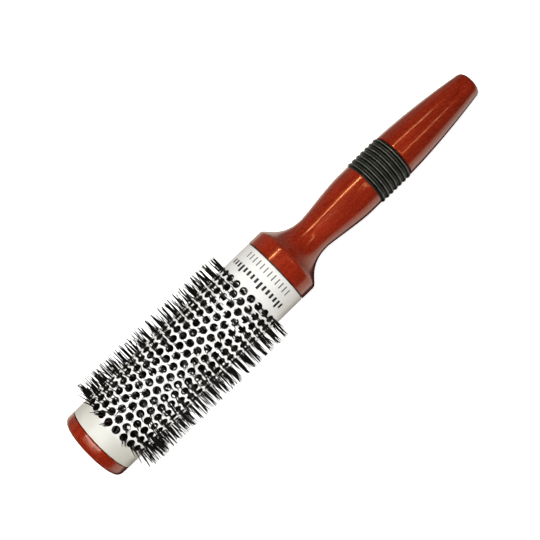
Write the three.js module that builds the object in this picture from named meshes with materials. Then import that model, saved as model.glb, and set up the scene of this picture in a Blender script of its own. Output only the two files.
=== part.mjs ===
// Round barrel brush: a perforated, ceramic-coated metal barrel whose nylon bristles stand on a
// twisted-wire core, with a turned lacquered handle and end cap.
//
// Millimetres. +X runs along the brush's axis from the end cap to the tip of the handle, +Z is up,
// and the origin is the centre of the end cap's flat outer face.

import * as THREE from 'three';
import { mergeVertices } from 'three/addons/utils/BufferGeometryUtils.js';

// ---------------------------------------------------------------- driving dimensions

const GAP = 0.3;                     // clearance between pieces that meet

const CAP_LENGTH = 5.6;              // visible length of the end cap
const CAP_EDGE = 2.3;                // rounding of the cap's outer edge
const BARREL_RADIUS = 16.5;          // 33 mm barrel
const BARREL_WALL = 1.1;
const BARREL_END = 107.8;            // where the barrel stops at the handle's collar

const ROWS = 21;                     // rings of holes along the barrel
const HOLES_PER_ROW = 23;
const FIRST_ROW = 15.3;              // from the cap's face to the first ring of holes
const ROW_PITCH = 3.81;
const ROW_PHASE = -4.5;              // degrees from +Z towards +Y, first hole of the first row
const HOLE_ALONG = 2.0;              // half diagonals of a hole, along the axis and around it
const HOLE_AROUND = 1.8;

const BRISTLE_RADIUS = 24.0;         // bristle tips
const TUFT_LENGTHWAYS = 1.5;         // tuft thickness along the axis
const TUFT_TIP_WIDTH = 1.15;
const TUFT_ROOT_RADIUS = 5.5;        // where neighbouring tufts run together

const WIRE_RADIUS = 1.15;            // each of the two twisted strands
const WIRE_PITCH = 24;               // length of one full turn
const WIRE_START = 4.4;
const WIRE_END = 120;

const PLUG_END = 13.2;               // how far the cap's plug reaches into the barrel
const SPIGOT_START = 95.0;           // how far the handle's spigot reaches into the barrel

const COLLAR_RADIUS = 16.6;
const SHOULDER = 115.0;              // sharp edge between the collar and the cone
const NECK = 131.1;                  // thinnest point of the handle
const NECK_RADIUS = 8.15;
const BELLY = 155.7;                 // full grip thickness from here
const BELLY_RADIUS = 10.65;
const TAIL_START = 179.6;
const TAIL_RADIUS = 10.75;
const TIP_EDGE = 224.5;              // where the tip starts to round off
const TIP_EDGE_RADIUS = 6.3;
const TOTAL_LENGTH = 226.5;
const TIP_FACE_RADIUS = 3.4;         // flat at the very end

const GRIP_START = 161.4;            // groove that the rubber sleeve sits in
const GRIP_FLOOR = 8.7;              // radius of the groove's floor
const RIBS = 7;
const RIB_RADIUS = 11.2;
const RIB_VALLEY = 10.4;

const ROUND_SEGMENTS = 32;

// ---------------------------------------------------------------- derived dimensions

const BARREL_START = CAP_LENGTH + GAP;
const BARREL_BORE = BARREL_RADIUS - BARREL_WALL;
const PLUG_RADIUS = BARREL_BORE - GAP;
const CORE_OFFSET = WIRE_RADIUS + GAP / 2;                  // strand centre from the axis
const CORE_CLEAR = CORE_OFFSET + WIRE_RADIUS + GAP;         // radius that clears both strands
const HOLE_PITCH = 2 * Math.PI / HOLES_PER_ROW;
const BARREL_SIDES = 2 * HOLES_PER_ROW;                     // an edge through every hole centre

const rowX = (row) => FIRST_ROW + row * ROW_PITCH;

// Angle of a hole, from +Z towards +Y; every other row is turned by half a pitch.
const holeAngle = (row, hole) =>
  THREE.MathUtils.degToRad(ROW_PHASE) + (hole + (row % 2) / 2) * HOLE_PITCH;

// ---------------------------------------------------------------- materials

const finish = (color, roughness, metalness = 0) =>
  new THREE.MeshStandardMaterial({ color, roughness, metalness });

const lacquer = finish(0x7d1f12, 0.2);
const whiteCoat = finish(0xe4dfd3, 0.35);
const nylon = finish(0x17120f, 0.45);
const rubber = finish(0x15171a, 0.6);
const steel = finish(0x9a9c9e, 0.35, 1);

// ---------------------------------------------------------------- helpers

const brush = new THREE.Group();

// Turned pieces are lathed about Y and laid along +X by this group.
const turned = new THREE.Group();
turned.rotation.z = -Math.PI / 2;
brush.add(turned);

function addTurned(name, profile, material, divisions, segments = ROUND_SEGMENTS) {
  const points = profile.getPoints(divisions);
  const piece = new THREE.Mesh(new THREE.LatheGeometry(points, segments), material);
  piece.name = name;
  turned.add(piece);
  return piece;
}

// ---------------------------------------------------------------- end cap

// A turned disc with a plug that is glued into the barrel and a blind bore for the wire core.
function endCap() {
  const profile = new THREE.Path();
  profile.moveTo(0, 0);
  profile.lineTo(BARREL_RADIUS - CAP_EDGE, 0);
  profile.quadraticCurveTo(BARREL_RADIUS, 0, BARREL_RADIUS, CAP_EDGE);
  profile.lineTo(BARREL_RADIUS, CAP_LENGTH);
  profile.lineTo(PLUG_RADIUS, CAP_LENGTH);
  profile.lineTo(PLUG_RADIUS, PLUG_END);
  profile.lineTo(CORE_CLEAR, PLUG_END);
  profile.lineTo(CORE_CLEAR, WIRE_START - GAP);
  profile.lineTo(0, WIRE_START - GAP);
  addTurned('end_cap', profile, lacquer, 5);
}

// ---------------------------------------------------------------- barrel

// The barrel is a ring of flat strips with an edge line through every hole centre, so each hole
// is shared by two strips. A strip's outline runs along both of its edge lines and turns in
// around half of each hole on them. Its points hold the place along the axis in x and the place
// across the strip, from 0 to 1, in y.
function stripOutline(line) {
  const stripWidth = 2 * BARREL_RADIUS * Math.sin(HOLE_PITCH / 4);
  const reach = HOLE_AROUND / stripWidth;
  const edge = (parity, across, inwards) => {
    const points = [new THREE.Vector2(BARREL_START, across)];
    for (let row = parity; row < ROWS; row += 2) {
      points.push(new THREE.Vector2(rowX(row) - HOLE_ALONG, across));
      points.push(new THREE.Vector2(rowX(row), across + inwards * reach));
      points.push(new THREE.Vector2(rowX(row) + HOLE_ALONG, across));
    }
    points.push(new THREE.Vector2(BARREL_END, across));
    return points;
  };
  return [...edge(line % 2, 0, 1), ...edge((line + 1) % 2, 1, -1).reverse()];
}

function barrel() {
  const positions = [];
  const onLine = (line, radius) => {
    const angle = holeAngle(0, 0) + line * HOLE_PITCH / 2;
    return new THREE.Vector3(0, radius * Math.sin(angle), radius * Math.cos(angle));
  };
  const place = (point, line, radius) => {
    const spot = onLine(line, radius).lerp(onLine(line + 1, radius), point.y);
    return [point.x, spot.y, spot.z];
  };
  for (let line = 0; line < BARREL_SIDES; line++) {
    const outline = stripOutline(line);
    const outer = outline.map((point) => place(point, line, BARREL_RADIUS));
    const inner = outline.map((point) => place(point, line, BARREL_BORE));
    for (const [a, b, c] of THREE.ShapeUtils.triangulateShape(outline, [])) {
      positions.push(...outer[a], ...outer[b], ...outer[c]);
      positions.push(...inner[c], ...inner[b], ...inner[a]);
    }
    outline.forEach((point, p) => {
      const q = (p + 1) % outline.length;
      if (point.y === outline[q].y) return;     // the neighbouring strip carries on here
      positions.push(...outer[p], ...inner[p], ...outer[q]);
      positions.push(...inner[p], ...inner[q], ...outer[q]);
    });
  }
  const loose = new THREE.BufferGeometry();
  loose.setAttribute('position', new THREE.Float32BufferAttribute(positions, 3));
  const wall = mergeVertices(loose, 1e-4);
  wall.computeVertexNormals();
  const piece = new THREE.Mesh(wall, whiteCoat);
  piece.name = 'barrel';
  brush.add(piece);
}

// ---------------------------------------------------------------- bristles

// One ring of tufts: a hub around the wire core, and a tuft through every hole of its row.
function bristleRing(row) {
  const at = (radius, angle) =>
    new THREE.Vector2(-radius * Math.cos(angle), radius * Math.sin(angle));
  const tipHalfAngle = TUFT_TIP_WIDTH / 2 / BRISTLE_RADIUS;
  const outline = [];
  for (let hole = 0; hole < HOLES_PER_ROW; hole++) {
    const angle = holeAngle(row, hole);
    outline.push(at(TUFT_ROOT_RADIUS, angle - HOLE_PITCH / 2));
    outline.push(at(BRISTLE_RADIUS, angle - tipHalfAngle));
    outline.push(at(BRISTLE_RADIUS, angle + tipHalfAngle));
  }
  const ring = new THREE.Shape(outline);
  const hubSides = 6;
  const hubRadius = CORE_CLEAR / Math.cos(Math.PI / hubSides);
  const hub = [];                             // runs round the other way, as a hole's outline does
  for (let side = 0; side < hubSides; side++) {
    hub.push(at(hubRadius, -side * 2 * Math.PI / hubSides));
  }
  ring.holes.push(new THREE.Path(hub));
  const geometry = new THREE.ExtrudeGeometry(ring, { depth: TUFT_LENGTHWAYS, bevelEnabled: false });
  geometry.translate(0, 0, -TUFT_LENGTHWAYS / 2);
  const piece = new THREE.Mesh(geometry, nylon);
  piece.name = `bristle_ring_${String(row + 1).padStart(2, '0')}`;
  piece.rotation.y = Math.PI / 2;             // extrusion direction from Z to X
  piece.position.x = rowX(row);
  brush.add(piece);
}

// ---------------------------------------------------------------- wire core

class Strand extends THREE.Curve {
  constructor(phase) {
    super();
    this.phase = phase;
  }

  getPoint(t, target = new THREE.Vector3()) {
    const x = t * (WIRE_END - WIRE_START);
    const angle = this.phase + 2 * Math.PI * x / WIRE_PITCH;
    return target.set(x, CORE_OFFSET * Math.cos(angle), CORE_OFFSET * Math.sin(angle));
  }
}

function wireStrand(name, phase) {
  const sides = 6;
  const section = new THREE.Shape(Array.from({ length: sides }, (_, side) => {
    const angle = side * 2 * Math.PI / sides;
    return new THREE.Vector2(Math.cos(angle), Math.sin(angle)).multiplyScalar(WIRE_RADIUS);
  }));
  const steps = Math.round(8 * (WIRE_END - WIRE_START) / WIRE_PITCH);
  const geometry = new THREE.ExtrudeGeometry(section, { steps, extrudePath: new Strand(phase) });
  const piece = new THREE.Mesh(geometry, steel);
  piece.name = name;
  piece.position.x = WIRE_START;
  brush.add(piece);
}

// ---------------------------------------------------------------- handle

// One turning, from the spigot with the core's bore through the collar, cone, neck, belly and the
// sleeve's groove to the tail and tip. A curve's two inner points set how far it leaves each end.
function handle() {
  const profile = new THREE.Path();
  profile.moveTo(0, WIRE_END + GAP);
  profile.lineTo(CORE_CLEAR, WIRE_END + GAP);
  profile.lineTo(CORE_CLEAR, SPIGOT_START);
  profile.lineTo(PLUG_RADIUS, SPIGOT_START);
  profile.lineTo(PLUG_RADIUS, BARREL_END + GAP);
  profile.lineTo(COLLAR_RADIUS, BARREL_END + GAP);
  profile.lineTo(COLLAR_RADIUS, SHOULDER);
  profile.bezierCurveTo(
    COLLAR_RADIUS - 1.0, SHOULDER + 2.0, NECK_RADIUS, NECK - 9.8, NECK_RADIUS, NECK);
  profile.bezierCurveTo(
    NECK_RADIUS, NECK + 3.8, BELLY_RADIUS, BELLY - 7.1, BELLY_RADIUS, BELLY);
  profile.lineTo(BELLY_RADIUS, GRIP_START);
  profile.lineTo(GRIP_FLOOR, GRIP_START);
  profile.lineTo(GRIP_FLOOR, TAIL_START);
  profile.lineTo(TAIL_RADIUS, TAIL_START);
  profile.bezierCurveTo(
    TAIL_RADIUS - 0.4, TAIL_START + 13.8, TIP_EDGE_RADIUS + 2.1, TIP_EDGE - 13,
    TIP_EDGE_RADIUS, TIP_EDGE);
  profile.quadraticCurveTo(TIP_EDGE_RADIUS - 0.3, TOTAL_LENGTH, TIP_FACE_RADIUS, TOTAL_LENGTH);
  profile.lineTo(0, TOTAL_LENGTH);
  addTurned('handle', profile, lacquer, 8);
}

// ---------------------------------------------------------------- rubber sleeve

// A closed ring in the handle's groove, with rounded ribs on its outside.
function gripSleeve() {
  const start = GRIP_START + GAP;
  const end = TAIL_START - GAP;
  const bore = GRIP_FLOOR + GAP;
  const pitch = (end - start) / RIBS;
  const profile = new THREE.Path();
  profile.moveTo(bore, start);
  profile.lineTo(RIB_VALLEY, start);
  for (let rib = 0; rib < RIBS; rib++) {
    const from = start + rib * pitch;
    profile.lineTo(RIB_RADIUS, from + 0.3 * pitch);
    profile.lineTo(RIB_RADIUS, from + 0.7 * pitch);
    profile.lineTo(RIB_VALLEY, from + pitch);
  }
  profile.lineTo(bore, end);
  profile.lineTo(bore, start);
  addTurned('grip_sleeve', profile, rubber, 1);
}

// ---------------------------------------------------------------- assembly

endCap();
barrel();
for (let row = 0; row < ROWS; row++) bristleRing(row);
wireStrand('core_wire_a', 0);
wireStrand('core_wire_b', Math.PI);
handle();
gripSleeve();

export default brush;
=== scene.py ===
"""Looks of the round barrel brush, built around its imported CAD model.

The frame is the CAD model's: +X from the end cap's outer face to the tip of the handle, +Z up,
origin at the centre of the cap's face. Local sizes are in millimetres and meshes are in metres.
"""

import math
import random

import bpy
import numpy as np
from mathutils import Matrix, Vector

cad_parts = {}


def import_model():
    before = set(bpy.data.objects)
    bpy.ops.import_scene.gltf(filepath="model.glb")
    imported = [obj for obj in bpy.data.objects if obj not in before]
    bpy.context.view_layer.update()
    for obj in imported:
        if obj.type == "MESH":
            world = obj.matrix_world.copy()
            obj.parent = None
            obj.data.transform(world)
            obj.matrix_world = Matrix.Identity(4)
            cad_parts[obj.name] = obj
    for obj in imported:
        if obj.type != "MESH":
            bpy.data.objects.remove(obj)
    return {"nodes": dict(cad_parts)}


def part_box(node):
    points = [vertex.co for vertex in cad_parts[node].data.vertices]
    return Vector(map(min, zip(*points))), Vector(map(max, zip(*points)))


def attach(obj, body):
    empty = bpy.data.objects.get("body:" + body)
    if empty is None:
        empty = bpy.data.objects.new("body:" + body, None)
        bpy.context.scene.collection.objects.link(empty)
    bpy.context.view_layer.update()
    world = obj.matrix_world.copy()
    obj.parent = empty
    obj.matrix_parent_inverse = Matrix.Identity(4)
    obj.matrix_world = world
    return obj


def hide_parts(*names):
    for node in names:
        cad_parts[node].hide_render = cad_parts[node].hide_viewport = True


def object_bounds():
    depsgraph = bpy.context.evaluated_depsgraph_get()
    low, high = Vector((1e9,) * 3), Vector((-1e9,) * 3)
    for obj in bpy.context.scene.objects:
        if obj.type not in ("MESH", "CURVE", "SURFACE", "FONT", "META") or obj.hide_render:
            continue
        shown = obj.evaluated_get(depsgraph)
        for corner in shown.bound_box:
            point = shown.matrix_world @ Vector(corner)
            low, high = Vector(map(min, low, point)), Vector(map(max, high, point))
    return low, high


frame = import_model()
cad_low, cad_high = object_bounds()

MM = 0.001


def span(node):
    """Start and end of a CAD node along the axis, in millimetres."""
    low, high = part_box(node)
    return low.x / MM, high.x / MM


# ------------------------------------------------------------------ sizes, in millimetres

RINGS = sorted(name for name in frame["nodes"] if name.startswith("bristle_ring_"))
ROW_X = [sum(span(ring)) / 2 for ring in RINGS]
ROW_PITCH = (ROW_X[-1] - ROW_X[0]) / (len(ROW_X) - 1)
HOLES = 23                      # holes in each row
FIRST_HOLE = math.radians(-4.5)  # angle of the first hole, from +Z towards +Y

CAP_FACE, CAP_PLUG_END = span("end_cap")
BARREL_START, BARREL_END = span("barrel")
BARREL_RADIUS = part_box("barrel")[1].y / MM
WALL = 1.1
JOINT = 0.3                     # play between glued or pressed pieces
PLUG_RADIUS = BARREL_RADIUS - WALL - JOINT   # of the cap's plug and of the handle's spigot
CORE_BORE = 2.75                # radius of the blind bores that hold the wire core
HOLE_RADIUS = 1.74              # inside the rolled rim
BRISTLE_REACH = cad_high.y / MM  # no filament goes past this

SPIGOT_START, TIP = span("handle")
COLLAR_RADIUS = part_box("handle")[1].y / MM
SLEEVE_START, SLEEVE_END = span("grip_sleeve")
SLEEVE_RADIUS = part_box("grip_sleeve")[1].y / MM
SLEEVE_RIBS = 7
WIRE_START, WIRE_END = span("core_wire_a")
FLOOR = cad_low.z                # in metres


# ------------------------------------------------------------------ mesh helpers

def on_axis(x, radius, angle):
    """A point at a place along the axis, a distance from it and an angle from +Z towards +Y."""
    return (x * MM, radius * math.sin(angle) * MM, radius * math.cos(angle) * MM)


def add_piece(name, vertices, faces, material, replaced=(), sharp=40):
    """A smooth-shaded mesh object that rides on the root body and stands for CAD nodes."""
    mesh = bpy.data.meshes.new(name)
    mesh.from_pydata(vertices, [], faces)
    mesh.validate()
    mesh.shade_smooth()
    mesh.set_sharp_from_angle(angle=math.radians(sharp))
    piece = bpy.data.objects.new(name, mesh)
    bpy.context.scene.collection.objects.link(piece)
    mesh.materials.append(material)
    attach(piece, "root")
    if replaced:
        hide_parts(*replaced)
    return piece


def bezier(start, out, into, end, steps):
    """Points of a cubic curve after its start, as (place along the axis, radius)."""
    points = []
    for step in range(1, steps + 1):
        t = step / steps
        weights = ((1 - t) ** 3, 3 * (1 - t) ** 2 * t, 3 * (1 - t) * t * t, t ** 3)
        points.append(tuple(
            sum(w * p[axis] for w, p in zip(weights, (start, out, into, end))) for axis in (0, 1)))
    return points


def rounded(points, corners, steps=5):
    """The profile with each listed corner, {index: radius}, replaced by a short arc-like curve."""
    result = []
    for index, point in enumerate(points):
        radius = corners.get(index, 0)
        if not radius:
            result.append(point)
            continue
        corner = Vector(point)
        before = corner + (Vector(points[index - 1]) - corner).normalized() * radius
        after = corner + (Vector(points[index + 1]) - corner).normalized() * radius
        for step in range(steps + 1):
            t = step / steps
            place = before * (1 - t) ** 2 + corner * 2 * t * (1 - t) + after * t * t
            result.append(tuple(place))
    return result


def lathe(name, profile, material, replaced=(), segments=128, closed=False, sharp=40):
    """Turns a profile of (place along the axis, radius) about the axis. An open one starts and ends
    on the axis; a closed one goes round and meets itself."""
    vertices, rings = [], []
    for x, radius in profile:
        if radius < 1e-6:
            rings.append([len(vertices)] * segments)
            vertices.append(on_axis(x, 0, 0))
        else:
            rings.append([len(vertices) + s for s in range(segments)])
            vertices += [on_axis(x, radius, 2 * math.pi * s / segments) for s in range(segments)]
    pairs = list(zip(rings, rings[1:] + rings[:1])) if closed else list(zip(rings, rings[1:]))
    faces = []
    for low, high in pairs:
        for s in range(segments):
            n = (s + 1) % segments
            corners = [low[s], high[s], high[n], low[n]]
            faces.append(tuple(dict.fromkeys(corners)))
    return add_piece(name, vertices, faces, material, replaced, sharp)


# ------------------------------------------------------------------ material helpers

def new_material(name, roughness, **inputs):
    """A node material; the inputs are those that are the same all over the surface."""
    material = bpy.data.materials.new(name)
    material.use_nodes = True
    shader = material.node_tree.nodes["Principled BSDF"]
    shader.inputs["Roughness"].default_value = roughness
    for key, value in inputs.items():
        shader.inputs[key.replace("_", " ")].default_value = value
    return material, material.node_tree, shader


def link(tree, source, target):
    """Wires one node's output to another's input."""
    tree.links.new(source, target)


def add_node(tree, kind, **settings):
    """A node of a kind, with its settings."""
    node = tree.nodes.new(kind)
    for key, value in settings.items():
        setattr(node, key, value)
    return node


def object_place(tree, stretch=(1, 1, 1)):
    """Coordinates in the CAD's frame, in metres, stretched along X, Y and Z."""
    place = add_node(tree, "ShaderNodeTexCoord")
    mapping = add_node(tree, "ShaderNodeMapping")
    mapping.inputs["Scale"].default_value = stretch
    link(tree, place.outputs["Object"], mapping.inputs["Vector"])
    return mapping.outputs["Vector"]


def noise(tree, scale, detail=4, stretch=(1, 1, 1)):
    """A cloudy pattern with about so many clouds to a metre."""
    node = add_node(tree, "ShaderNodeTexNoise")
    node.inputs["Scale"].default_value = scale
    node.inputs["Detail"].default_value = detail
    link(tree, object_place(tree, stretch), node.inputs["Vector"])
    return node.outputs["Fac"]


def ramp(tree, factor, stops):
    """A colour ramp with stops of (position, colour)."""
    node = add_node(tree, "ShaderNodeValToRGB")
    elements = node.color_ramp.elements
    while len(elements) < len(stops):
        elements.new(0.5)
    for element, (position, colour) in zip(elements, stops):
        element.position = position
        element.color = (*colour, 1)
    link(tree, factor, node.inputs["Fac"])
    return node.outputs["Color"]


def mix(tree, factor, first, second):
    """Mixes two colours by a constant or a socket."""
    node = add_node(tree, "ShaderNodeMix", data_type="RGBA")
    for socket, value in ((node.inputs["Factor"], factor), (node.inputs["A"], first),
                          (node.inputs["B"], second)):
        if isinstance(value, bpy.types.NodeSocket):
            link(tree, value, socket)
        elif isinstance(value, tuple):
            socket.default_value = (*value, 1)
        else:
            socket.default_value = value
    return node.outputs["Result"]


def scaled(tree, factor, low, high, from_low=0.0, from_high=1.0):
    """Maps a value from one range to another."""
    node = add_node(tree, "ShaderNodeMapRange")
    node.inputs["From Min"].default_value = from_low
    node.inputs["From Max"].default_value = from_high
    node.inputs["To Min"].default_value = low
    node.inputs["To Max"].default_value = high
    link(tree, factor, node.inputs["Value"])
    return node.outputs["Result"]


def pingpong(tree, value, scale):
    """A value that is folded to and fro between 0 and the scale."""
    node = add_node(tree, "ShaderNodeMath", operation="PINGPONG")
    link(tree, value, node.inputs[0])
    node.inputs[1].default_value = scale
    return node.outputs["Value"]


def bump(tree, shader, height, distance):
    """Raises the surface by a height pattern, up to a distance in metres."""
    node = add_node(tree, "ShaderNodeBump")
    node.inputs["Distance"].default_value = distance
    link(tree, height, node.inputs["Height"])
    link(tree, node.outputs["Normal"], shader.inputs["Normal"])


# ------------------------------------------------------------------ materials

def lacquer_material():
    """Deep red-brown stained wood under clear gloss lacquer, with fine pearly flecks."""
    material, tree, shader = new_material(
        "red_lacquer", 0.3, Coat_Weight=0.8, Coat_Roughness=0.1, Coat_IOR=1.36, Specular_IOR_Level=0.45,
        Specular_Tint=(1, 0.5, 0.2, 1))
    grain = noise(tree, 420, 5, (0.12, 1, 1))
    stain = ramp(tree, grain, [(0.25, (0.172, 0.008, 0.0026)), (0.5, (0.236, 0.0115, 0.0036)),
                               (0.78, (0.32, 0.021, 0.007))])
    cloud = noise(tree, 90, 2)
    clouded = mix(tree, scaled(tree, cloud, 0, 0.3, 0.35, 0.75), stain, (0.31, 0.022, 0.007))
    fleck = noise(tree, 1700, 2)
    flecked = mix(tree, scaled(tree, fleck, 0, 0.5, 0.48, 0.72), clouded, (0.48, 0.068, 0.02))
    link(tree, flecked, shader.inputs["Base Color"])
    link(tree, scaled(tree, noise(tree, 1500, 3), 0.14, 0.24), shader.inputs["Roughness"])
    bump(tree, shader, noise(tree, 700, 3, (0.3, 1, 1)), 0.00002)
    return material


def ceramic_material():
    """Off-white ceramic coat, painted whiter from the first row of holes to the handle as painted light
    against the bristles' shade; painted near-black inside, as painted shade.
    """
    material, tree, shader = new_material(
        "white_ceramic", 0.38, Coat_Weight=0.15, Coat_Roughness=0.2, Specular_IOR_Level=0.3)
    place = add_node(tree, "ShaderNodeTexCoord")
    parts = add_node(tree, "ShaderNodeSeparateXYZ")
    link(tree, place.outputs["Object"], parts.inputs["Vector"])
    across = add_node(tree, "ShaderNodeCombineXYZ")
    link(tree, parts.outputs["Y"], across.inputs["Y"])
    link(tree, parts.outputs["Z"], across.inputs["Z"])
    radius = add_node(tree, "ShaderNodeVectorMath", operation="LENGTH")
    link(tree, across.outputs["Vector"], radius.inputs["Vector"])
    outside = scaled(tree, radius.outputs["Value"], 0, 1,
                     (BARREL_RADIUS - 0.35) * MM, (BARREL_RADIUS - 0.12) * MM)
    tone = ramp(tree, noise(tree, 120, 3), [(0.3, (0.68, 0.675, 0.615)), (0.7, (0.73, 0.725, 0.665))])
    # painted light: from the first row of holes to the handle the coat is painted whiter, to make up for
    # the shade the bristles cast there
    painted_light_zone = scaled(tree, parts.outputs["X"], 0, 1, (ROW_X[0] - 2.6) * MM, (ROW_X[0] - 1) * MM)
    coat = mix(tree, painted_light_zone, tone, (0.86, 0.86, 0.845))
    # painted shade: the inside of the tube and the walls of the holes are painted near-black for the
    # shade in there
    painted_shade_inside = (0.008, 0.008, 0.008)
    link(tree, mix(tree, outside, painted_shade_inside, coat), shader.inputs["Base Color"])
    link(tree, scaled(tree, noise(tree, 900, 3), 0.32, 0.45), shader.inputs["Roughness"])
    bump(tree, shader, noise(tree, 1100, 2), 0.00002)
    return material


def ink_and_shade_material(name, colour):
    """Printed ink with slightly worn coverage; also the near-black of the handle's joint, dark glue with
    painted shade.
    """
    material, tree, shader = new_material(name, 0.5, Specular_IOR_Level=0.2)
    thin = tuple(channel * 1.8 + 0.02 for channel in colour)
    varied_tone = ramp(tree, noise(tree, 2500, 3), [(0.3, colour), (0.8, thin)])
    link(tree, varied_tone, shader.inputs["Base Color"])
    return material


def nylon_material():
    """Dark nylon filament, some of it brown where the light gets through."""
    material, tree, shader = new_material("dark_nylon", 0.2, Specular_IOR_Level=0.1)
    tint = ramp(tree, noise(tree, 900, 2), [(0.35, (0.004, 0.004, 0.004)), (0.62, (0.008, 0.006, 0.005)),
                                            (0.8, (0.035, 0.020, 0.011))])
    link(tree, tint, shader.inputs["Base Color"])
    link(tree, scaled(tree, noise(tree, 2200, 1), 0.25, 0.42), shader.inputs["Roughness"])
    return material


def rubber_material():
    """Black rubber whose crests carry a painted highlight, a pale sheen in the colour, the ribs more than
    the ridges between.
    """
    material, tree, shader = new_material("black_rubber", 0.3, Specular_IOR_Level=0.2)
    place = add_node(tree, "ShaderNodeTexCoord")
    parts = add_node(tree, "ShaderNodeSeparateXYZ")
    link(tree, place.outputs["Object"], parts.inputs["Vector"])
    crests = 2 * SLEEVE_RIBS
    along = scaled(tree, parts.outputs["X"], 0, crests, SLEEVE_START * MM, SLEEVE_END * MM)
    off_crest = pingpong(tree, along, 0.5)
    rib = pingpong(tree, along, 1.0)               # 0 on a fine ridge, 1 on a rib
    # painted highlight: a pale sheen painted into the crests' colour, brighter on the ribs than on the
    # fine ridges, for the highlight lines the ribs catch
    crest_sheen = ramp(tree, noise(tree, 500, 4), [(0.3, (0.18, 0.19, 0.16)), (0.75, (0.29, 0.305, 0.26))])
    varied_tone = mix(tree, rib, (0.08, 0.085, 0.07), crest_sheen)
    crest = ramp(tree, off_crest, [(0.04, (1, 1, 1)), (0.15, (0, 0, 0))])
    link(tree, mix(tree, crest, (0.004, 0.005, 0.004), varied_tone), shader.inputs["Base Color"])
    link(tree, scaled(tree, noise(tree, 1800, 3), 0.26, 0.38), shader.inputs["Roughness"])
    bump(tree, shader, noise(tree, 3500, 2), 0.000004)
    return material


def steel_material():
    """Darkened drawn steel wire with fine marks along it."""
    material, tree, shader = new_material("steel_wire", 0.45, Metallic=1.0)
    marks = noise(tree, 800, 3, (0.2, 1, 1))
    tone = ramp(tree, marks, [(0.3, (0.04, 0.04, 0.04)), (0.7, (0.09, 0.09, 0.085))])
    link(tree, tone, shader.inputs["Base Color"])
    return material


def studio_material(name, glow):
    """A pale studio surface that glows, so that it stays white and shadows stay faint."""
    material, tree, shader = new_material(name, 0.6, Emission_Strength=glow)
    tone = ramp(tree, noise(tree, 6, 2), [(0.3, (0.88, 0.88, 0.88)), (0.7, (0.90, 0.90, 0.90))])
    link(tree, tone, shader.inputs["Base Color"])
    shader.inputs["Emission Color"].default_value = (1, 1, 1, 1)
    return material


# ------------------------------------------------------------------ barrel

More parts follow.
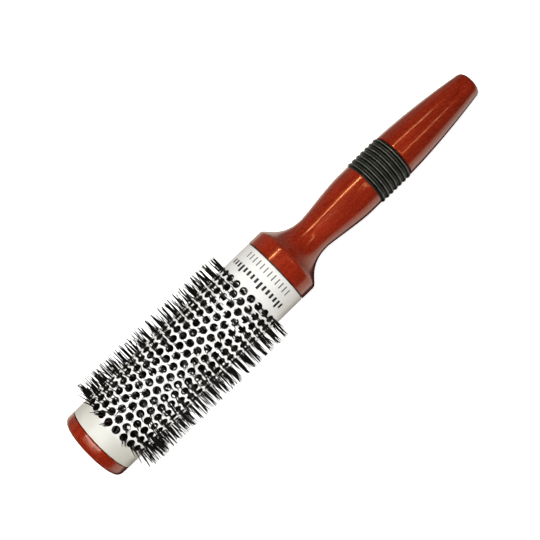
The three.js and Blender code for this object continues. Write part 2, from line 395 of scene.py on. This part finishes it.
def barrel():
    """A perforated tube. Around each hole lies a six-sided cell of the staggered pattern; cells share
    their outlines, and the rings inside a cell make the rolled rim and the wall of its hole."""
    radius = BARREL_RADIUS
    pitch = 2 * math.pi * radius / HOLES           # between holes of a row, around the outside
    quarter = 4                                    # steps along each side of a cell
    units = HOLES * 2 * quarter                    # steps around the barrel
    side_x = (ROW_PITCH ** 2 + (pitch / 2) ** 2) / (2 * ROW_PITCH)   # cell corner on its own line
    top_x = side_x - (pitch / 2) ** 2 / ROW_PITCH                    # cell corner between two holes
    vertices, faces, found = [], [], {}

    def vertex(x, unit, depth, key=None):
        """A vertex at a number of steps around; key marks one that neighbouring cells share."""
        if key is not None and key in found:
            return found[key]
        angle = FIRST_HOLE + unit * pitch / (2 * quarter) / radius
        vertices.append(on_axis(x, radius - depth, angle))
        if key is not None:
            found[key] = len(vertices) - 1
        return len(vertices) - 1

    def shared(x, unit, depth):
        """A vertex on the outline of a cell, the same one for each cell that meets there."""
        return vertex(x, unit, depth, (round(x, 2), unit % units, depth))

    corners = [(side_x, 0), (top_x, quarter), (-top_x, quarter),
               (-side_x, 0), (-top_x, -quarter), (top_x, -quarter)]
    outline = []                                   # of a cell, as (x, steps around) from its hole
    for (x0, u0), (x1, u1) in zip(corners, corners[1:] + corners[:1]):
        outline += [(x0 + (x1 - x0) * s / quarter, u0 + (u1 - u0) * s / quarter) for s in range(quarter)]
    rim = [(HOLE_RADIUS + 0.24, 0.0), (HOLE_RADIUS + 0.08, 0.05), (HOLE_RADIUS, 0.2),
           (HOLE_RADIUS, WALL)]                    # (radius, depth) of the rings inside a cell
    for row, row_x in enumerate(ROW_X):
        for hole in range(HOLES):
            middle = hole * 2 * quarter + (row % 2) * quarter
            rings = [[shared(row_x + x, middle + u, 0.0) for x, u in outline]]
            for ring_radius, depth in rim:
                ring = []
                for step in range(len(outline)):
                    turn = 2 * math.pi * step / len(outline)
                    around = ring_radius * math.sin(turn) / pitch * 2 * quarter
                    ring.append(vertex(row_x + ring_radius * math.cos(turn), middle + around, depth))
                rings.append(ring)
            rings.append([shared(row_x + x, middle + u, WALL) for x, u in outline])
            for outer, inner in zip(rings, rings[1:]):
                for s in range(len(outline)):
                    n = (s + 1) % len(outline)
                    faces.append((outer[s], outer[n], inner[n], inner[s]))

    def band(edge_row, side, profile):
        """The plain end of the barrel from the outside of the last cells round its edge to their
        inside. profile lists (x, depth) from outside to inside. Returns each strip's first face."""
        def cell_edge(unit, depth):
            """The vertex on the zigzag edge of the last cells."""
            off = abs((unit + quarter) % (2 * quarter) - quarter)
            x = side_x - off * (side_x - top_x) / quarter
            return shared(ROW_X[edge_row] + side * x, unit, depth)
        columns = []
        for unit in range(units):
            column = [cell_edge(unit, 0.0)]
            column += [vertex(x, unit, depth) for x, depth in profile]
            columns.append(column + [cell_edge(unit, WALL)])
        strips = []
        for unit in range(units):
            here, there = columns[unit], columns[(unit + 1) % units]
            strips.append(len(faces))
            for step in range(len(here) - 1):
                quad = (here[step], here[step + 1], there[step + 1], there[step])
                faces.append(quad if side > 0 else quad[::-1])
        return strips

    edge = 0.15                                    # rounding of the tube's ends
    end = BARREL_END - JOINT                       # leaves room for a dark joint at the collar
    band(0, -1, [(BARREL_START + 3, 0.0), (BARREL_START + edge, 0.0), (BARREL_START + 0.08, 0.08),
                 (BARREL_START, edge), (BARREL_START, WALL)])
    print_lines = (95.9, 97.1, 99.5, 102.6, 105.7)   # edges of the bands of print near the handle
    label = [(x, 0.0) for x in print_lines]
    strips = band(len(ROW_X) - 1, 1, label + [
        (end - edge, 0.0), (end - 0.08, 0.08), (end, edge), (end, WALL)])
    piece = add_piece("ceramic_barrel", vertices, faces, ceramic_material(), ["barrel"])
    piece.data.materials.append(ink_and_shade_material("black_ink", (0.012, 0.012, 0.012)))
    piece.data.materials.append(ink_and_shade_material("grey_ink", (0.10, 0.10, 0.10)))
    print_scale(piece.data, strips, units, pitch / (2 * quarter) / radius)
    return piece


def print_scale(mesh, strips, units, unit_angle):
    """Prints a plain ruler: thick black ticks, every fifth one longer, and fine grey ticks. A strip's
    faces 1 to 4 are those between the lines of the print."""
    middle = math.radians(7)                       # of the ruler, towards +Y from the top
    black_reach, grey_reach = math.radians(58), math.radians(49)   # from the middle, each way
    long_part, tick, grey_tick = 1, 2, 4           # faces of a strip
    black_ink, grey_ink = 1, 2                     # places in the mesh's list of materials
    for unit, first in enumerate(strips):
        angle = (FIRST_HOLE + (unit + 0.5) * unit_angle + math.pi) % (2 * math.pi) - math.pi
        step = math.floor(angle / unit_angle)
        off = abs(angle - middle)
        if off < black_reach and step % 4 < 2:
            mesh.polygons[first + tick].material_index = black_ink
            if step % 20 < 2:
                mesh.polygons[first + long_part].material_index = black_ink
        if off < grey_reach and step % 4 == 1:
            mesh.polygons[first + grey_tick].material_index = grey_ink


# ------------------------------------------------------------------ bristles

def filament(path, radius, sides=6):
    """A slightly tapered tube with a blunt, narrower tip along a path of points, in millimetres."""
    vertices, faces = [], []
    taper, tip_share = 0.15, 0.55
    across = np.cross(path[-1] - path[0], (1.0, 0.3, 0.2))   # with any direction that isn't its own
    across /= np.linalg.norm(across)
    for index, point in enumerate(path):
        ahead = path[min(index + 1, len(path) - 1)] - path[max(index - 1, 0)]
        ahead /= np.linalg.norm(ahead)
        side = across - ahead * np.dot(across, ahead)
        side /= np.linalg.norm(side)
        other = np.cross(ahead, side)
        here = radius * (1 - taper * index / (len(path) - 1))
        if index == len(path) - 1:
            here *= tip_share
        for s in range(sides):
            turn = 2 * math.pi * s / sides
            vertices.append((point + side * math.cos(turn) * here + other * math.sin(turn) * here) * MM)
    for index in range(len(path) - 1):
        for s in range(sides):
            n = (s + 1) % sides
            low, high = index * sides, (index + 1) * sides
            faces.append((low + s, low + n, high + n, high + s))
    faces.append(tuple(range(sides - 1, -1, -1)))
    last = (len(path) - 1) * sides
    faces.append(tuple(last + s for s in range(sides)))
    return vertices, faces


def bristle_ring(row, material):
    """All filaments of one row of holes. They start at the wire core, fill their hole and stand almost
    parallel outside it; a few stray ones cross their neighbours. The first row leans to the cap."""
    draw = random.Random(100 + row)
    vertices, faces = [], []
    radius = 0.27                                  # of a filament at its root
    hole_gap = 0.3                                 # from a hole's wall to a filament's middle
    stray_share, stray_lean, usual_lean = 0.07, 0.2, 0.06   # the leans are slopes
    cap_lean, tip_gap, tip_spread = 0.14, 0.15, 0.2
    places = (4.5, 10.0, BARREL_RADIUS - 0.6, BARREL_RADIUS + 2.6)   # from the axis
    along = np.array((1.0, 0.0, 0.0))
    for hole in range(HOLES):
        angle = FIRST_HOLE + (hole + (row % 2) / 2) * 2 * math.pi / HOLES
        out = np.array((0.0, math.sin(angle), math.cos(angle)))
        around = np.array((0.0, math.cos(angle), -math.sin(angle)))
        for _ in range(draw.randint(3, 4)):
            spread = (HOLE_RADIUS - hole_gap) * math.sqrt(draw.random())
            turn = draw.uniform(0, 2 * math.pi)
            hole_x, hole_a = spread * math.cos(turn), spread * math.sin(turn)
            loose = stray_lean if draw.random() < stray_share else usual_lean
            lean_x, lean_a = draw.gauss(0, loose), draw.gauss(0, loose)
            if row == 0:
                lean_x -= draw.uniform(0.0, cap_lean)
            reach = BRISTLE_REACH - tip_gap - abs(draw.gauss(0, tip_spread))
            path = []
            for place in (*places, reach):
                inside = min(place / BARREL_RADIUS, 1.0)
                beyond = max(place - BARREL_RADIUS, 0.0)
                bend = beyond * (0.7 + 0.3 * beyond / 7)
                path.append(ROW_X[row] * along + out * place
                            + along * (hole_x * inside + lean_x * bend)
                            + around * (hole_a * inside + lean_a * bend))
            tip = path[-1]
            distance = math.hypot(tip[1], tip[2])
            if distance > reach:
                tip[1:] *= reach / distance
            made, quads = filament(path, radius)
            first = len(vertices)
            vertices += made
            faces += [tuple(first + v for v in quad) for quad in quads]
    name = RINGS[row].replace("ring", "row")
    return add_piece(name, vertices, faces, material, [RINGS[row]], 60)


# ------------------------------------------------------------------ turned pieces

def end_cap(material):
    """A disc with a softly rounded edge and a plug that sits in the barrel."""
    shoulder = BARREL_START - JOINT
    bore_end = 4.1                                 # bottom of the blind bore for the wire core
    face = [(CAP_FACE, 0), (CAP_FACE, BARREL_RADIUS - 2.6)]
    edge = bezier(face[-1], (CAP_FACE, BARREL_RADIUS - 1.0), (CAP_FACE + 1.0, BARREL_RADIUS),
                  (CAP_FACE + 2.8, BARREL_RADIUS), 14)
    plug = rounded([(shoulder - 1, BARREL_RADIUS), (shoulder, BARREL_RADIUS), (shoulder, PLUG_RADIUS),
                    (CAP_PLUG_END, PLUG_RADIUS), (CAP_PLUG_END, CORE_BORE), (bore_end, CORE_BORE),
                    (bore_end, 0)], {1: 0.25, 3: 0.6})
    return lathe("lacquered_cap", face + edge + plug, material, ["end_cap"])


def handle(material):
    """Spigot, collar, cone, neck, belly, groove for the sleeve, tail and tip. The faces in the joint
    between the barrel and the collar are painted near-black: dark glue, with the shade of the gap painted
    in as well."""
    collar_front = BARREL_END + JOINT
    shoulder = 115.0                               # where the collar ends and the cone starts
    neck, belly = (131.1, 8.15), (155.7, 10.65)    # the thinnest and the thickest place
    groove_start, groove_end, groove_floor = SLEEVE_START - JOINT, SLEEVE_END + JOINT, 8.7
    tail_start, tip_edge = (groove_end, 10.75), (TIP - 2, 6.3)
    step_x, step_radius = BARREL_END - 0.25, BARREL_RADIUS - 0.5   # keep the joint there shallow
    front = rounded([(WIRE_END + JOINT, 0), (WIRE_END + JOINT, CORE_BORE), (SPIGOT_START, CORE_BORE),
                     (SPIGOT_START, PLUG_RADIUS), (step_x, PLUG_RADIUS), (step_x, step_radius),
                     (collar_front, step_radius), (collar_front, COLLAR_RADIUS),
                     (shoulder, COLLAR_RADIUS), (shoulder + 1.2, COLLAR_RADIUS - 1.1)],
                    {3: 0.5, 7: 0.15, 8: 0.9})
    cone = bezier(front[-1], (117.8, 13.9), (121.4, neck[1]), neck, 48)
    grip = bezier(neck, (134.9, neck[1]), (148.6, belly[1]), belly, 40)
    groove = rounded([(belly[0] + 3, belly[1]), (groove_start, belly[1]), (groove_start, groove_floor),
                      (groove_end, groove_floor), tail_start, (tail_start[0] + 1, tail_start[1] - 0.03)],
                     {1: 0.3, 4: 0.3})
    tail = bezier(groove[-1], (193.4, 10.36), (211.5, 8.42), tip_edge, 48)
    end = bezier(tip_edge, (TIP - 0.5, 6.05), (TIP, 5.0), (TIP, 3.2), 16)
    profile = front + cone + grip + groove + tail + end + [(TIP, 0)]
    piece = lathe("lacquered_handle", profile, material, ["handle"])
    # near-black for the joint's faces: dark glue, with the shade of the gap painted in
    piece.data.materials.append(ink_and_shade_material("glue_and_gap_shade", (0.010, 0.008, 0.007)))
    for face in piece.data.polygons:
        x, radius = face.center.x / MM, math.hypot(face.center.y, face.center.z) / MM
        in_joint = step_x - 0.01 < x < collar_front + 0.01
        if in_joint and PLUG_RADIUS < radius < COLLAR_RADIUS - 0.2:
            face.material_index = 1
    return piece


def grip_sleeve(material):
    """A rubber ring with round ribs and a fine ridge between each two."""
    bore, rib_height, ridge_height = 9.0, 0.85, 0.32
    rib_half, ridge_half = 0.33, 0.12              # half widths, as shares of the pitch
    valley = SLEEVE_RADIUS - rib_height
    pitch = (SLEEVE_END - SLEEVE_START) / SLEEVE_RIBS
    steps = 24                                     # along each pitch
    chamfer = 0.2                                  # at both ends of the sleeve
    profile = [(SLEEVE_START, bore), (SLEEVE_START, valley - chamfer)]
    for step in range(SLEEVE_RIBS * steps + 1):
        phase = step / steps % 1.0
        rib = max(0.0, 1 - ((phase - 0.5) / rib_half) ** 2) ** 0.5 * rib_height
        near = min(phase, 1 - phase)
        ridge = max(0.0, 1 - (near / ridge_half) ** 2) ** 0.5 * ridge_height
        at_end = step in (0, SLEEVE_RIBS * steps)
        profile.append((SLEEVE_START + step / steps * pitch, valley + (0 if at_end else max(rib, ridge))))
    profile += [(SLEEVE_END, valley - chamfer), (SLEEVE_END, bore)]
    return lathe("ribbed_sleeve", profile, material, ["grip_sleeve"], closed=True, sharp=60)


def core_wire(letter, phase, material):
    """One of the two twisted strands that hold the bristles."""
    radius, offset, pitch = 1.15, 1.3, 24.0        # offset of a strand from the axis
    steps, sides = 160, 12
    path = []
    for step in range(steps + 1):
        x = WIRE_START + (WIRE_END - WIRE_START) * step / steps
        turn = phase + 2 * math.pi * x / pitch
        path.append(np.array((x, offset * math.cos(turn), offset * math.sin(turn))))
    vertices, faces = filament(path, radius, sides)
    return add_piece(f"twisted_wire_{letter}", vertices, faces, material,
                     [f"core_wire_{letter}"], 60)


# ------------------------------------------------------------------ camera, floor and lights

def camera():
    """Looks almost straight down, with the brush's axis rising to the upper right."""
    foot, height = 80.5, 393.3                     # the camera's place over the axis
    aside = 1.85
    target = Vector((106.46, aside, 0)) * MM
    place = Vector((foot, aside, height)) * MM
    back = (place - target).normalized()
    lie = math.radians(44.08)                      # the axis's slope in the picture
    along = (Vector((1, 0, 0)) - back * back.x).normalized()
    across = back.cross(along)
    right = along * math.cos(lie) - across * math.sin(lie)
    up = back.cross(right)
    data = bpy.data.cameras.new("camera")
    data.sensor_width = 36
    data.lens = 61.2
    data.clip_start, data.clip_end = 0.01, 20
    seen = bpy.data.objects.new("camera", data)
    seen.matrix_world = Matrix.Translation(place) @ Matrix((right, up, back)).transposed().to_4x4()
    bpy.context.scene.collection.objects.link(seen)
    bpy.context.scene.camera = seen


def floor():
    """A flat pale square, wide enough for every view."""
    mesh = bpy.data.meshes.new("floor")
    reach = 3.0                                    # in metres, as the backdrop's radius
    mesh.from_pydata([(-reach, -reach, FLOOR), (reach, -reach, FLOOR), (reach, reach, FLOOR),
                      (-reach, reach, FLOOR)], [], [(0, 1, 2, 3)])
    mesh.materials.append(studio_material("pale_floor", 0.93))
    ground = bpy.data.objects.new("floor", mesh)
    bpy.context.scene.collection.objects.link(ground)
    only_for_camera(ground)


def backdrop():
    """A pale dome that stands on the floor's edge, so that every view has a pale ground."""
    radius, around, rings = 3.0, 48, 12            # the radius in metres
    vertices, faces = [], []
    for ring in range(rings + 1):
        rise = math.pi / 2 * ring / rings * 0.999
        for step in range(around):
            turn = 2 * math.pi * step / around
            out = radius * math.cos(rise)
            vertices.append((out * math.cos(turn), out * math.sin(turn), FLOOR + radius * math.sin(rise)))
    for ring in range(rings):
        for step in range(around):
            low, high, nearby = ring * around, (ring + 1) * around, (step + 1) % around
            faces.append((low + step, high + step, high + nearby, low + nearby))
    mesh = bpy.data.meshes.new("backdrop")
    mesh.from_pydata(vertices, [], faces)
    mesh.shade_smooth()
    mesh.materials.append(studio_material("pale_backdrop", 1.0))
    dome = bpy.data.objects.new("backdrop", mesh)
    bpy.context.scene.collection.objects.link(dome)
    only_for_camera(dome)
    dome.visible_shadow = False


def only_for_camera(piece):
    """The brush is lit and mirrored by the lights and the world, not by this piece."""
    piece.visible_glossy = False
    piece.visible_diffuse = False


def area_light(name, place, target, size, power, colour):
    """A rectangular light aimed at a point, its first side along X; places in millimetres."""
    data = bpy.data.lights.new(name, "AREA")
    data.shape = "RECTANGLE"
    data.size, data.size_y = size[0] * MM, size[1] * MM
    data.energy = power
    data.color = colour
    light = bpy.data.objects.new(name, data)
    place, target = Vector(place) * MM, Vector(target) * MM
    back = (place - target).normalized()
    side = (Vector((1, 0, 0)) - back * back.x).normalized()
    light.matrix_world = Matrix.Translation(place) @ Matrix(
        (side, back.cross(side), back)).transposed().to_4x4()
    bpy.context.scene.collection.objects.link(light)
    return light


def spot_light(name, tilt, power):
    """A narrow spot on the rows of bristles, tilted from straight up towards +Y; degrees and watts."""
    middle = Vector(((ROW_X[0] + ROW_X[-1]) / 2, 0, 0)) * MM
    away, tilt = 0.4, math.radians(tilt)           # away in metres
    back = Vector((0, math.sin(tilt), math.cos(tilt)))
    data = bpy.data.lights.new(name, "SPOT")
    data.energy = power
    data.spot_size = 2 * math.atan((ROW_X[-1] - ROW_X[0] + 3) / 2 * MM / away)
    data.spot_blend = 0.08
    data.shadow_soft_size = 0.008
    light = bpy.data.objects.new(name, data)
    side = Vector((1, 0, 0))
    light.matrix_world = Matrix.Translation(middle + back * away) @ Matrix(
        (side, back.cross(side), back)).transposed().to_4x4()
    bpy.context.scene.collection.objects.link(light)
    light.visible_glossy = False


def world():
    """Dim overhead, a band from the horizon down that is bright only towards -Y, and a ground that is
    pale towards +Y and dark towards -Y, where it draws the brush's lower edge. The floor and the
    backdrop hide all this from the camera but not from the brush."""
    made = bpy.data.worlds.new("world")
    made.use_nodes = True
    tree = made.node_tree
    place = add_node(tree, "ShaderNodeTexCoord")
    parts = add_node(tree, "ShaderNodeSeparateXYZ")
    link(tree, place.outputs["Generated"], parts.inputs["Vector"])
    toward = add_node(tree, "ShaderNodeVectorMath", operation="DOT_PRODUCT")
    link(tree, place.outputs["Generated"], toward.inputs[0])
    toward.inputs[1].default_value = (0.25, -0.95, 0)
    side = scaled(tree, toward.outputs["Value"], 0, 1, -1, 1)
    pale = ramp(tree, side, [
        (0.1, (0.3, 0.27, 0.23)), (0.45, (0.22, 0.19, 0.16)), (0.74, (0.32, 0.29, 0.25)),
        (0.9, (1.4, 1.3, 1.17))])
    rise = scaled(tree, parts.outputs["Z"], 0, 1, -1, 1)
    beside = mix(tree, ramp(tree, rise, [(0.49, (1, 1, 1)), (0.6, (0, 0, 0))]), (0.07, 0.065, 0.06), pale)
    below = ramp(tree, rise, [(0.14, (1, 1, 1)), (0.21, (0, 0, 0))])
    ground = ramp(tree, side, [(0.42, (0.9, 0.8, 0.7)), (0.47, (0.03, 0.022, 0.018))])
    background = tree.nodes["Background"]
    link(tree, mix(tree, below, beside, ground), background.inputs["Color"])
    background.inputs["Strength"].default_value = 1.0
    bpy.context.scene.world = made


def lights():
    """A soft key light and two narrow fills that gloss doesn't show, and lights that only gloss shows."""
    world()
    middle = (110, 0, 0)

    def overhead(tilt, x, away=700):
        """A place above the brush, tilted from straight up towards +Y by an angle in degrees."""
        tilt = math.radians(tilt)
        return (x, away * math.sin(tilt), away * math.cos(tilt))

    key = area_light("key", overhead(12, 40, 400), middle, (130, 130), 1.75, (1.0, 0.99, 0.965))
    key.visible_glossy = False
    spot_light("low_fill", -65, 4.0)
    spot_light("high_fill", 72, 2.0)
    glints = [
        area_light("warm_strip", overhead(37, 215), (170, 0, 0), (290, 24), 1.25, (1.0, 0.70, 0.40)),
        area_light("tail_strip", overhead(37, 465), (170, 0, 0), (210, 24), 0.33, (1.0, 0.68, 0.40)),
        area_light("tail_line", overhead(-18, 470), (170, 0, 0), (290, 14), 0.28, (1.0, 0.70, 0.45)),
        area_light("left_bank", (-105, 130, 700), (5, 0, 0), (70, 900), 2.4, (0.8, 0.9, 1.0)),
        area_light("neck_light", (337, -30, 700), (130, 0, 0), (30, 240), 0.26, (1.0, 0.62, 0.32))]
    for light in glints:
        light.visible_diffuse = False


# ------------------------------------------------------------------ assembly

bpy.context.scene.view_settings.view_transform = "Standard"
camera()
floor()
backdrop()
lights()
red = lacquer_material()
end_cap(red)
handle(red)
grip_sleeve(rubber_material())
barrel()
dark = nylon_material()
for row in range(len(RINGS)):
    bristle_ring(row, dark)
steel = steel_material()
core_wire("a", 0.0, steel)
core_wire("b", math.pi, steel)
